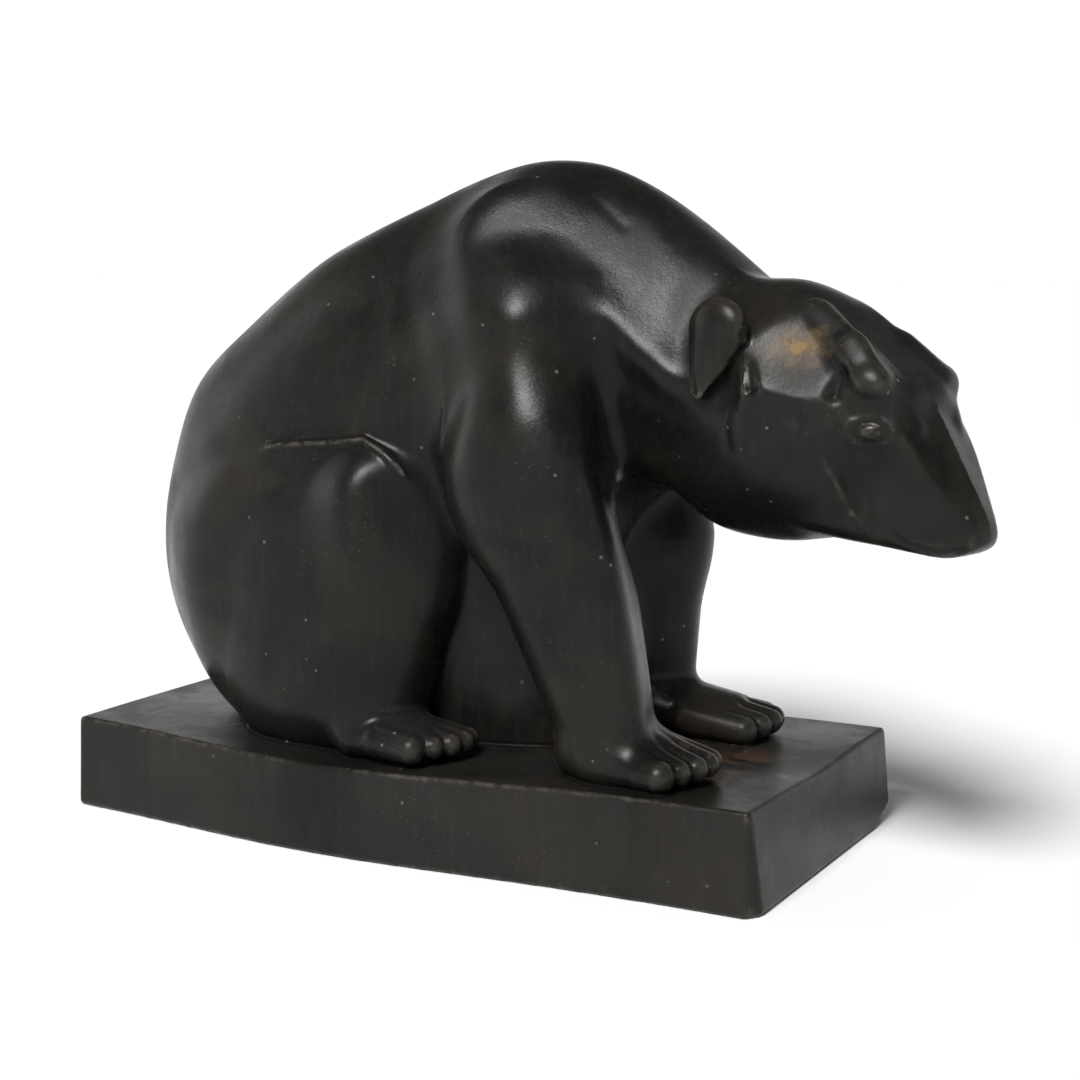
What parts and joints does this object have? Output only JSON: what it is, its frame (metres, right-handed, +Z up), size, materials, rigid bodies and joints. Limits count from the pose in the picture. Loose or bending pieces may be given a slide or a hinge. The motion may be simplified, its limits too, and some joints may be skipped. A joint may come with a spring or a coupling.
{
  "type": "polar bear figurine",
  "caption": "Table figurine of a seated polar bear with its head lowered, cast in one with an oblong plinth; stands on its flat underside.",
  "frame": {"origin": "middle of the plinth's flat underside", "axes": "+Z up; +X along the plinth towards the bear's head; the side shown in the picture is -Y"},
  "size_m": [0.2465, 0.106, 0.1745],
  "materials": {
    "dark_ceramic": "dark grey-black finish with a soft sheen over fired clay, worn through to ochre on the near temple, paler where handled"
  },
  "bodies": {
    "root": {"bear_on_plinth": "dark_ceramic"}
  },
  "joints": []
}
